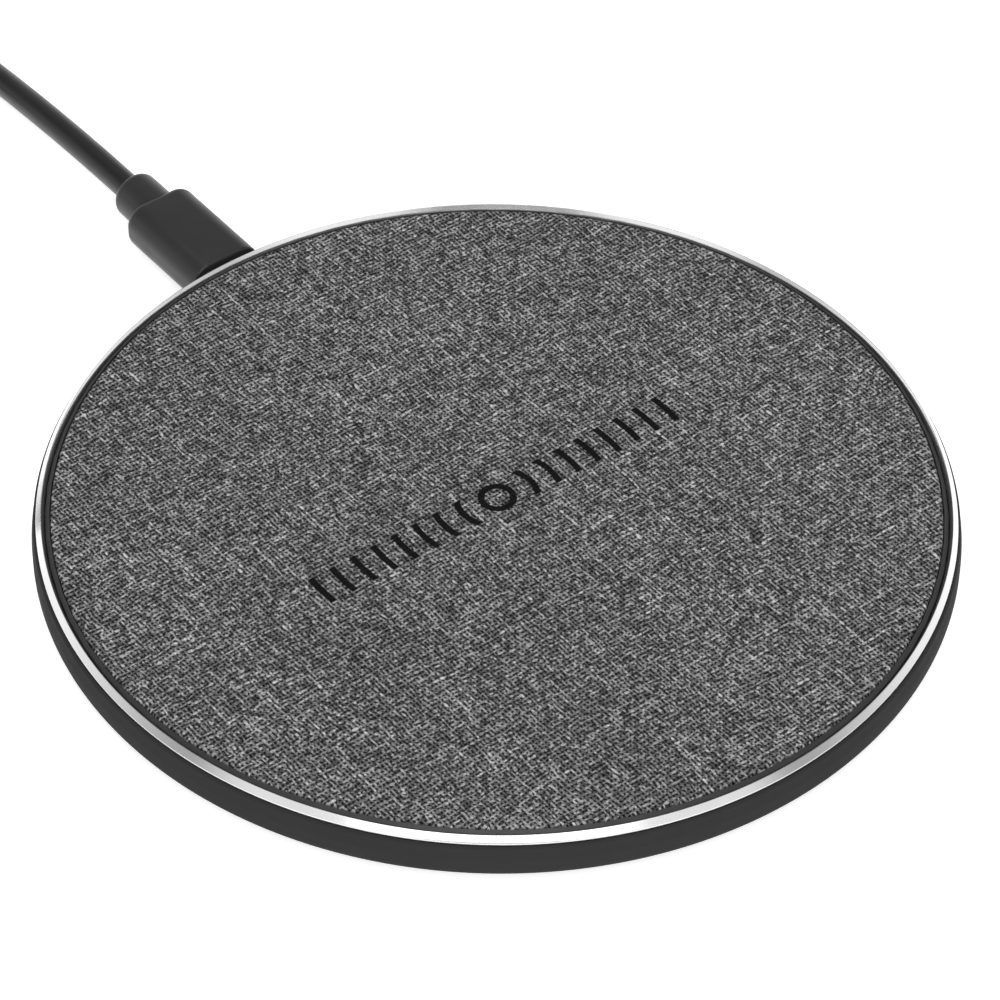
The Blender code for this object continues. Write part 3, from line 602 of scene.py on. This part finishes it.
def make_trim_ring():
    """Bright turned ring: a fine ridge with a slope to either side, and its pressed-in foot."""
    ridge, half_ridge = 48.87 * MM, 0.02 * MM
    outer = high("trim_ring").x
    inner, inner_z = 48.5 * MM, 6.88 * MM
    drop_z, flange_z, foot_z = CREST_Z - 0.63 * MM, 6.55 * MM, low("trim_ring").z
    foot_outer = 49.0 * MM
    ridge_in, ridge_out = Vector((ridge - half_ridge, CREST_Z)), Vector((ridge + half_ridge, CREST_Z))
    foot_in, edge = Vector((inner, inner_z)), Vector((outer, drop_z))
    corners = [ridge_in, ridge_out, ridge_out.lerp(edge, 0.1), ridge_out.lerp(edge, 0.88), edge,
               (outer, flange_z), (foot_outer, flange_z), (foot_outer, foot_z), (inner, foot_z),
               foot_in, foot_in.lerp(ridge_in, 0.12), foot_in.lerp(ridge_in, 0.9)]
    radii = [0.01, 0.01, 0.0, 0.0, 0.03, 0.02, 0.0, 0.03, 0.03, 0.02, 0.0, 0.0]
    profile = rounded(corners, [radius * MM for radius in radii], 4)
    ring = turned("trim_ring_polished", profile, 720, smooth_angle=30.0)
    look = Look("diamond-cut aluminium")
    x, y, z = look.axes()
    radius = look.radius(x, y)
    lathe = look.noise(14.0, look.vector(radius, 0.0, z), detail=2.0)
    smears = look.noise(0.25, detail=3.0)
    look.set(Base_Color=look.mix(smears, grey(0.71), grey(0.77)), Metallic=1.0)
    look.set(Roughness=look.span(look.math("ADD", lathe, smears), 0.7, 1.3, 0.16, 0.2))
    look.set(Normal=look.bump(lathe, 0.001 * MM, strength=0.4))
    look.on(ring)
    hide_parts("trim_ring")
    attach(ring, PAD)


def make_panel_lip():
    """The carrier's raised lip, seen as a dark ring between the cloth and the trim."""
    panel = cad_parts["top_panel"]
    look = moulded("satin carrier plastic", 0.042, 0.42, grain_mm=0.18, grain_height=0.006, specular=0.25)
    look.on(panel)


def make_housing():
    """Side wall: rounded at its widest, undercut below, with the hole for the light cut in.
    Known fault: the port and notch cutters are lofted, so the port stays closed."""
    outer = PAD_RADIUS
    edge_radius, edge_z = 1.2 * MM, 3.4 * MM
    base_z = low("housing").z
    shoulder = [(49.43 * MM, 6.45 * MM), (49.55 * MM, 6.43 * MM), (outer - 0.22 * MM, 6.25 * MM),
                (outer - 0.18 * MM, 5.8 * MM), (outer, 4.7 * MM), (outer, edge_z)]
    soft = [0.0, 0.1 * MM, 0.4 * MM, 1.0 * MM, 1.0 * MM, 0.0]
    profile = rounded(shoulder, soft, 6)[:-1]
    for i in range(15):
        angle = math.radians(-58.0 * i / 14)
        profile.append((outer - edge_radius + edge_radius * math.cos(angle),
                        edge_z + edge_radius * math.sin(angle)))
    profile += [(46.35 * MM, 0.69 * MM), (46.2 * MM, 0.62 * MM), (46.05 * MM, base_z)]
    # The foot, the ledge that holds the cover, the inner wall and the seat of the trim ring
    cover_edge, ledge, wall_inner, seat = 45.0 * MM, 43.6 * MM, 47.2 * MM, 49.1 * MM
    profile += [(45.05 * MM, base_z), (cover_edge, 0.65 * MM), (cover_edge, 1.5 * MM), (ledge, 1.5 * MM),
                (ledge, 2.3 * MM), (46.0 * MM, 2.3 * MM), (wall_inner, 3.2 * MM), (wall_inner, 5.8 * MM),
                (seat, 5.8 * MM), (seat, 6.45 * MM)]
    wall = turned("side_wall", profile, 512, smooth_angle=35.0)
    port = lofted("port cutter", [(y, 8.2 * MM, 2.8 * MM, 0.6 * MM) for y in (46.0 * MM, 52.0 * MM)],
                  (0.0, PLUG_Z), count=32)
    notch = lofted("notch cutter", [(y, 12.8 * MM, 1.85 * MM, 0.1 * MM) for y in (42.0 * MM, 47.1 * MM)],
                   (0.0, 2.475 * MM), count=16)
    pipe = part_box("light_pipe")
    direction = Vector((pipe[0][0] + pipe[1][0], pipe[0][1] + pipe[1][1], 0.0)).normalized()
    hole_radius, hole_start, hole_end = 1.1 * MM, 51.0 * MM, 46.0 * MM
    hole = turned("light cutter", [(0.0, hole_start), (hole_radius, hole_start),
                                   (hole_radius, hole_end), (0.0, hole_end)], 48)
    hole.matrix_world = (Matrix.Translation((0.0, 0.0, PLUG_Z))
                         @ direction.to_track_quat("Z", "Y").to_matrix().to_4x4())
    cut_from(wall, port, notch, hole)
    look = moulded("side wall plastic", 0.028, 0.72, grain_mm=0.16, grain_height=0.012, specular=0.05)
    look.on(wall)
    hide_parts("housing")
    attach(wall, PAD)


def cut_from(piece, *cutters):
    """Cut the cutters out of the piece's mesh, and drop them."""
    for cutter in cutters:
        step = piece.modifiers.new("cut", "BOOLEAN")
        step.operation = "DIFFERENCE"
        step.solver = "EXACT"
        step.object = cutter
    bpy.context.view_layer.update()
    graph = bpy.context.evaluated_depsgraph_get()
    mesh = bpy.data.meshes.new_from_object(piece.evaluated_get(graph))
    piece.modifiers.clear()
    piece.data = mesh
    mesh.set_sharp_from_angle(angle=math.radians(35.0))
    for cutter in cutters:
        bpy.data.objects.remove(cutter, do_unlink=True)


# ---------------------------------------------------------------- plug

def make_plug():
    """Soft sleeve over the plug and its stepped strain relief.
    Known fault: the pocket cutter is lofted, so the sleeve's mouth stays closed."""
    body_low, body_high = low("plug_overmould"), high("plug_overmould")
    width, height = body_high.x - body_low.x, body_high.z - body_low.z
    corner = 2.45 * MM
    front, shoulder = body_low.y, body_high.y
    sections = rounded_end(front, width, height, corner, 0.3 * MM, -1, 5)[::-1]
    sections += rounded_end(shoulder, width, height, corner, 1.1 * MM, 1, 10)
    sleeve = lofted("plug_sleeve", sections, (0.0, PLUG_Z))
    pocket_ends = (front - MM, front + 6.0 * MM)
    pocket = lofted("pocket cutter", [(y, 7.9 * MM, 4.0 * MM, 1.4 * MM) for y in pocket_ends],
                    (0.0, PLUG_Z), count=64)
    cut_from(sleeve, pocket)
    relief_low, relief_high = low("plug_strain_relief"), high("plug_strain_relief")
    across = relief_high.x - relief_low.x
    inside = relief_low.y - 0.9 * MM
    sections = [(y, across, across, across * 0.49) for y in (inside, relief_low.y + 0.3 * MM)]
    sections += rounded_end(relief_high.y, across, across, across * 0.49, 1.15 * MM, 1, 10)
    relief = lofted("plug_relief", sections, (0.0, PLUG_Z))
    look = moulded("plug elastomer", 0.03, 0.38, grain_mm=0.2, grain_height=0.004, specular=0.28)
    look.on(sleeve, relief)
    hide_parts("plug_overmould")
    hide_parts("plug_strain_relief")
    for piece in (sleeve, relief):
        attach(piece, CABLE)
    return sleeve, relief


def make_charger_plug():
    """The larger plug at the cord's far end.
    Known fault: the pocket cutter is lofted, so the body's mouth stays closed."""
    centre = (middle("charger_plug_overmould").x, middle("charger_plug_overmould").z)
    body_low, body_high = low("charger_plug_overmould"), high("charger_plug_overmould")
    width, height = body_high.x - body_low.x, body_high.z - body_low.z
    corner = 2.0 * MM
    sections = rounded_end(body_low.y, width, height, corner, 0.6 * MM, -1, 6)[::-1]
    for share in (0.25, 0.5, 0.75):
        y = body_low.y + (body_high.y - body_low.y) * share
        pinch = 0.35 * MM * math.sin(math.pi * share)
        sections.append((y, width - pinch, height - pinch, corner))
    sections += rounded_end(body_high.y, width, height, corner, 1.5 * MM, 1, 8)
    body = lofted("charger_plug_body", sections, centre)
    pocket_ends = (body_low.y - MM, body_low.y + 6.0 * MM)
    pocket = lofted("charger pocket cutter", [(y, 12.3 * MM, 4.8 * MM, 0.4 * MM) for y in pocket_ends],
                    centre, count=32)
    cut_from(body, pocket)
    relief_low, relief_high = low("charger_plug_relief").y, high("charger_plug_relief").y
    wide, narrow = 5.4 * MM, 4.2 * MM
    sections = []
    ribs = 5
    for i in range(ribs * 6 + 1):
        share = i / (ribs * 6)
        groove = 0.35 * MM * smooth_step(math.cos(TAU * share * ribs), 0.35, 0.8)
        size = wide + (narrow - wide) * share - groove
        sections.append((relief_low + (relief_high - relief_low) * share, size, size, size * 0.49))
    relief = lofted("charger_plug_ribs", sections, centre)
    look = moulded("charger plug elastomer", 0.026, 0.42, grain_mm=0.2, grain_height=0.004)
    look.on(body, relief)
    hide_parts("charger_plug_overmould")
    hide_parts("charger_plug_relief")
    for piece in (body, relief):
        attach(piece, CABLE)
    return body, relief


def make_tie():
    """Twist tie round the coil: a flat plastic strip over a wire core, its ends twisted together."""
    tie_low, tie_high = low("cable_tie"), high("cable_tie")
    thickness, width = 0.6 * MM, tie_high.x - tie_low.x
    centre = middle("cable_tie")
    across, tall = tie_high.y - tie_low.y - thickness, tie_high.z - tie_low.z - thickness
    loop = rounded_rectangle(across, tall, 1.9 * MM, 80)
    offsets = [(-0.5, 0.25), (-0.47, 0.5), (-0.2, 0.5), (-0.13, 0.85), (0.0, 1.0), (0.13, 0.85), (0.2, 0.5),
               (0.47, 0.5), (0.5, 0.25), (0.5, -0.25), (0.47, -0.5), (-0.47, -0.5), (-0.5, -0.25)]
    normals = []
    for k in range(len(loop)):
        ahead, behind = Vector(loop[(k + 1) % len(loop)]), Vector(loop[k - 1])
        tangent = (ahead - behind).normalized()
        normals.append(Vector((tangent.y, -tangent.x)))
    points = []
    for (y, z), normal in zip(loop, normals):
        for x, out in offsets:
            shift = normal * (out * thickness * 0.5)
            points.append((centre.x + x * width, centre.y + y + shift.x, centre.z + z + shift.y))
    faces = strip_faces(len(loop), len(offsets), cyclic_rows=True, flip=True)
    tie = add_mesh("twist_tie", points, faces)
    moulded("tie plastic", 0.02, 0.45, grain_mm=0.3, grain_height=0.006).on(tie)
    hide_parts("cable_tie")
    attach(tie, CABLE)
    return tie


def declare_cord():
    moulded("cord jacket", 0.012, 0.36, grain_mm=0.3, grain_height=0.003).on(cord)


# ---------------------------------------------------------------- carried CAD nodes

def finish_nodes():
    """Procedural finishes for the CAD nodes that stay."""
    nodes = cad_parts
    moulded("cover plastic", 0.035, 0.55, grain_mm=0.16, grain_height=0.015).on(nodes["bottom_cover"])
    moulded("silicone", 0.02, 0.75, grain_mm=0.12, grain_height=0.004).on(nodes["antislip_ring"])
    film = moulded("adhesive film", 0.6, 0.4, grain_mm=0.5, grain_height=0.01, warmth=0.05)
    film.on(nodes["fabric_adhesive"])
    moulded("pressed ferrite", 0.03, 0.6, grain_mm=0.4, grain_height=0.02).on(nodes["ferrite_plate"])
    moulded("closed-cell foam", 0.02, 0.9, grain_mm=0.5, grain_height=0.12).on(nodes["ferrite_foam"])
    screw = metal("zinc-plated steel", 0.55, 0.32, warmth=0.01)
    screw.on(*[nodes[f"cover_screw_{n}"] for n in range(1, 5)])
    litz_look().on(nodes["transmitter_coil"])
    bead_look().on(nodes["coil_thermistor"])
    board_look().on(nodes["circuit_board"])
    steel = metal("nickel-plated sheet", 0.68, 0.24, brushed=(1.0, 0.08, 1.0))
    steel.on(nodes["usb_socket_shell"], nodes["plug_shell"], nodes["charger_plug_shell"])
    insulator = moulded("liquid-crystal polymer", 0.03, 0.4, grain_mm=0.3, grain_height=0.004)
    insulator.on(nodes["usb_socket_tongue"], nodes["charger_plug_insulator"])
    moulded("inner mould", 0.008, 0.5, grain_mm=0.3, grain_height=0.004).on(nodes["plug_inner_mould"])
    package = moulded("epoxy package", 0.022, 0.5, grain_mm=0.08, grain_height=0.004)
    package.on(nodes["controller_chip"], *[nodes[f"bridge_mosfet_{n}"] for n in range(1, 5)])
    ceramic = ceramic_look()
    ceramic.on(*[nodes[f"resonant_capacitor_{n}"] for n in range(1, 5)])
    ceramic.on(*[nodes[f"input_capacitor_{n}"] for n in range(1, 3)])
    moulded("powder core", 0.05, 0.6, grain_mm=0.15, grain_height=0.02).on(nodes["power_inductor"])
    lens_look("diffusing resin", 0.8, 0.3, 0.2).on(nodes["status_led"])
    lens_look("clear light pipe", 0.85, 0.12, 0.85).on(nodes["light_pipe"])
    gold = metal("gold plating", 0.75, 0.2, warmth=0.35)
    gold.on(*[nodes[f"charger_plug_contact_{n}"] for n in range(1, 5)])


def litz_look():
    look = Look("litz bundle")
    x, y, z = look.axes()
    angle = look.math("ARCTAN2", y, x)
    radius = look.radius(x, y)
    rise = look.math("MULTIPLY", look.math("ADD", radius, z), 30.0 / MM)
    lay = look.math("ADD", look.math("MULTIPLY", angle, 60.0), rise)
    strands = look.math("ABSOLUTE", look.math("SINE", lay))
    # Painted shade: the copper is darker in the grooves between strands and lighter on their tops, following
    # the same pattern as the bump
    dark, light = (0.3, 0.11, 0.04, 1.0), (0.8, 0.4, 0.18, 1.0)
    look.set(Base_Color=look.mix(strands, dark, light), Metallic=0.9, Coat_Weight=0.4)
    look.set(Roughness=look.span(strands, 0.0, 1.0, 0.45, 0.28), Normal=look.bump(strands, 0.05 * MM))
    return look


def bead_look():
    look = Look("thermistor bead")
    flow = look.noise(0.8, detail=3.0)
    look.set(Base_Color=look.mix(flow, (0.36, 0.2, 0.05, 1.0), (0.58, 0.37, 0.12, 1.0)), Coat_Weight=0.5)
    look.set(Roughness=look.span(flow, 0.3, 0.7, 0.28, 0.45), Normal=look.bump(flow, 0.02 * MM))
    return look


def board_look():
    """Green solder mask with the copper pour and tracks showing through it."""
    look = Look("solder mask")
    cells = look.node("ShaderNodeTexVoronoi", feature="DISTANCE_TO_EDGE")
    look.join(look.place, cells.inputs["Vector"])
    cells.inputs["Scale"].default_value = 0.45 / MM
    tracks = look.span(cells.outputs["Distance"], 0.05, 0.09, 0.0, 1.0, smooth=True)
    weave = look.noise(1.6, detail=2.0)
    under = look.mix(weave, (0.006, 0.055, 0.025, 1.0), (0.01, 0.08, 0.035, 1.0))
    look.set(Base_Color=look.mix(tracks, under, (0.018, 0.14, 0.055, 1.0)), Coat_Weight=0.3)
    look.set(Roughness=look.span(weave, 0.3, 0.7, 0.3, 0.4), Normal=look.bump(tracks, 0.03 * MM))
    return look


def ceramic_look():
    look = Look("capacitor ceramic")
    grain = look.noise(2.5, detail=4.0)
    look.set(Base_Color=look.mix(grain, (0.34, 0.23, 0.14, 1.0), (0.48, 0.35, 0.24, 1.0)))
    look.set(Roughness=look.span(grain, 0.3, 0.7, 0.42, 0.6), Normal=look.bump(grain, 0.01 * MM))
    return look


def lens_look(name, level, roughness, transmission):
    look = Look(name)
    cloud = look.noise(0.9, detail=2.0)
    look.set(Base_Color=look.mix(cloud, grey(level * 0.94), grey(level * 1.04, 0.01)))
    look.set(Roughness=look.span(cloud, 0.3, 0.7, roughness * 0.85, roughness * 1.15))
    look.set(Transmission_Weight=transmission, Normal=look.bump(cloud, 0.004 * MM))
    return look


# ---------------------------------------------------------------- floor and light

FLOOR_GLOW = 0.64                 # lifts the shadows, as on a light table
BASE_LIGHT = 0.1                  # the least that any direction of the studio gives

# Direction from the camera's point of view (right, away, up), the cosines of the angle to it at which
# a lobe begins and is at its strongest, and its strength there
WORLD_LOBES = (
    ((-0.55, -0.58, 0.6), 0.9, 0.98, 0.8),        # left of the camera
    ((0.55, -0.58, 0.6), 0.9, 0.98, 0.8),         # right of the camera
    ((0.0, 0.7237, 0.69), 0.8, 0.93, 0.15),       # beyond the part
    ((0.0, 0.0, 1.0), 0.6, 0.05, 1.15),           # all round the horizon, and none overhead
)

# Name, direction (right, away, up), distance, width and depth in metres, and power in watts
AREA_LIGHTS = (
    ("overhead softbox", (0.0, 0.1, 1.0), 1.2, 0.9, 0.9, 4.7),
    ("front softbox", (0.0, -0.55, 0.83), 1.4, 0.6, 0.6, 5.9),
    ("low strip light", (0.0, -0.76, 0.65), 1.4, 1.3, 0.3, 2.4),
)


def make_floor():
    reach = 3.0
    corners = [(-reach, -reach, 0.0), (reach, -reach, 0.0), (reach, reach, 0.0), (-reach, reach, 0.0)]
    floor = add_mesh("floor", corners, [(0, 1, 2, 3)])
    look = Look("pale floor")
    cloud = look.noise(0.004, detail=2.0)
    look.set(Base_Color=look.mix(cloud, grey(0.9), grey(0.93)), Roughness=0.7, Specular_IOR_Level=0.2)
    look.set(Emission_Color=grey(1.0), Emission_Strength=FLOOR_GLOW)
    look.on(floor)


def area_light(name, direction, distance, width, depth, power):
    data = bpy.data.lights.new(name, "AREA")
    data.shape = "RECTANGLE"
    data.size, data.size_y = width, depth
    data.energy = power
    light = bpy.data.objects.new(name, data)
    bpy.context.scene.collection.objects.link(light)
    way = from_camera(*direction).normalized()
    light.location = way * distance
    light.rotation_mode = "QUATERNION"
    light.rotation_quaternion = way.to_track_quat("Z", "Y")


def make_world():
    """A studio that is bright round the horizon and dim overhead, with soft lobes on its walls."""
    world = bpy.data.worlds.new("studio")
    bpy.context.scene.world = world
    world.use_nodes = True
    tree = world.node_tree
    background = tree.nodes["Background"]
    place = tree.nodes.new("ShaderNodeTexCoord").outputs["Generated"]

    def lobe(direction, start, end, strength):
        dot = tree.nodes.new("ShaderNodeVectorMath")
        dot.operation = "DOT_PRODUCT"
        tree.links.new(place, dot.inputs[0])
        dot.inputs[1].default_value = from_camera(*direction).normalized()
        step = tree.nodes.new("ShaderNodeMapRange")
        step.interpolation_type = "SMOOTHSTEP"
        tree.links.new(dot.outputs["Value"], step.inputs[0])
        for value, socket in zip((start, end, 0.0, strength), step.inputs[1:5]):
            socket.default_value = value
        return step.outputs[0]

    total = None
    for direction, start, end, strength in WORLD_LOBES:
        add = tree.nodes.new("ShaderNodeMath")
        add.operation = "ADD"
        tree.links.new(lobe(direction, start, end, strength), add.inputs[0])
        add.inputs[1].default_value = BASE_LIGHT
        if total is not None:
            tree.links.new(total, add.inputs[1])
        total = add.outputs[0]
    tree.links.new(total, background.inputs["Strength"])
    background.inputs["Color"].default_value = (1.0, 1.0, 1.0, 1.0)


def make_studio():
    make_floor()
    make_world()
    for name, direction, distance, width, depth, power in AREA_LIGHTS:
        area_light(name, direction, distance, width, depth, power)
    bpy.context.scene.view_settings.view_transform = "Standard"


# ---------------------------------------------------------------- assembly

make_fabric()
make_trim_ring()
make_panel_lip()
make_housing()
plug_pieces = make_plug()
far_pieces = make_charger_plug()
tie = make_tie()
carried = ["plug_shell", "plug_inner_mould", "charger_plug_shell", "charger_plug_insulator"]
carried += [f"charger_plug_contact_{number}" for number in range(1, 5)]
declare_cord()
finish_nodes()
make_studio()

bpy.context.view_layer.update()
